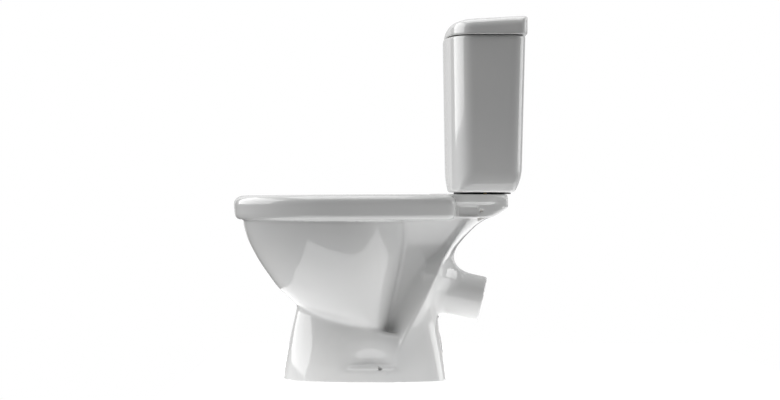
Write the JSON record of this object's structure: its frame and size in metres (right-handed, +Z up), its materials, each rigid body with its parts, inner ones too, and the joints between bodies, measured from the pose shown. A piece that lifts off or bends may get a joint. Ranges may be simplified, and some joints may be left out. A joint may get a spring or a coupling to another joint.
{
  "type": "close coupled toilet",
  "caption": "Free-standing china toilet pan with an oblique rear outlet, and a cistern with a lift-off lid and a two-part flush button on its rear shelf.",
  "frame": {"origin": "on the floor, under the middle of the bounding box, in the toilet's plane of symmetry", "axes": "+Z up, -Y towards the front of the bowl, +Y towards the wall, +X to the right of someone who faces the toilet"},
  "size_m": [0.375, 0.629, 0.7766],
  "materials": {
    "china": "high gloss white glaze",
    "chrome": "polished",
    "white_plastic": "satin moulded",
    "grey_plastic": "satin moulded",
    "blue_plastic": "satin moulded",
    "rubber": "matt",
    "foam": "matt closed cell foam",
    "brass": "machined",
    "zinc_steel": "bright zinc"
  },
  "bodies": {
    "root": {"pan": "china", "cistern": "china", "coupling_gasket": "foam", "flush_valve_base": "white_plastic", "flush_valve_washer": "rubber", "flush_valve_backnut": "white_plastic", "flush_valve_cage": "white_plastic", "valve_pivot_pin": "zinc_steel", "fill_valve_riser": "white_plastic", "fill_valve_washer": "rubber", "fill_valve_backnut": "brass", "inlet_filter": "grey_plastic", "fill_valve_head": "white_plastic", "fill_outlet_tube": "white_plastic", "coupling_bolt_right": "brass", "cone_washer_right": "rubber", "rubber_washer_right": "rubber", "steel_washer_right": "zinc_steel", "wing_nut_right": "brass", "coupling_bolt_left": "brass", "cone_washer_left": "rubber", "rubber_washer_left": "rubber", "steel_washer_left": "zinc_steel", "wing_nut_left": "brass"},
    "lid": {"cistern_lid": "china", "button_bezel": "chrome", "button_nut": "white_plastic"},
    "full_button": {"full_flush_button": "chrome", "full_flush_rod": "white_plastic"},
    "half_button": {"half_flush_button": "chrome", "half_flush_rod": "blue_plastic"},
    "valve_core": {"overflow_tube": "grey_plastic", "flush_seal": "rubber", "half_flush_float": "blue_plastic"},
    "half_link": {"half_flush_link": "blue_plastic"},
    "full_rocker": {"full_flush_rocker": "grey_plastic"},
    "half_rocker": {"half_flush_rocker": "blue_plastic"},
    "float": {"fill_float": "white_plastic", "float_rod": "blue_plastic"},
    "fill_lever": {"fill_valve_lever": "grey_plastic"}
  },
  "joints": [
    {"name": "lid_lift", "type": "slide", "parent": "root", "child": "lid", "axis": [0, 0, 1], "range_m": [0, 0.12]},
    {"name": "full_button_press", "type": "slide", "parent": "lid", "child": "full_button", "axis": [0, 0, -1], "range_m": [0, 0.007], "stiffness_N_per_m": 1500},
    {"name": "half_button_press", "type": "slide", "parent": "lid", "child": "half_button", "axis": [0, 0, -1], "range_m": [0, 0.007], "stiffness_N_per_m": 1500},
    {"name": "core_lift", "type": "slide", "parent": "root", "child": "valve_core", "axis": [0, 0, 1], "range_m": [0, 0.0105]},
    {"name": "half_link_lift", "type": "slide", "parent": "root", "child": "half_link", "axis": [0, 0, 1], "range_m": [0, 0.0105]},
    {"name": "full_rocker_turn", "type": "hinge", "parent": "root", "child": "full_rocker", "pos_m": [0, 0.225, 0.686], "axis": [0, -1, 0], "range_deg": [0, 40.2]},
    {"name": "half_rocker_turn", "type": "hinge", "parent": "root", "child": "half_rocker", "pos_m": [0, 0.225, 0.686], "axis": [0, 1, 0], "range_deg": [0, 40.2]},
    {"name": "float_rise", "type": "slide", "parent": "root", "child": "float", "axis": [0, 0, 1], "range_m": [0, 0.006]},
    {"name": "fill_lever_turn", "type": "hinge", "parent": "root", "child": "fill_lever", "pos_m": [-0.132, 0.233, 0.692], "axis": [1, 0, 0], "range_deg": [0, 14.2]}
  ],
  "couplings": [
    {"joint": "core_lift", "follows": "full_button_press", "ratio": 1.5},
    {"joint": "full_rocker_turn", "follows": "full_button_press", "rad_per_m": 100},
    {"joint": "half_link_lift", "follows": "half_button_press", "ratio": 1.5},
    {"joint": "half_rocker_turn", "follows": "half_button_press", "rad_per_m": 100},
    {"joint": "fill_lever_turn", "follows": "float_rise", "rad_per_m": 41}
  ]
}
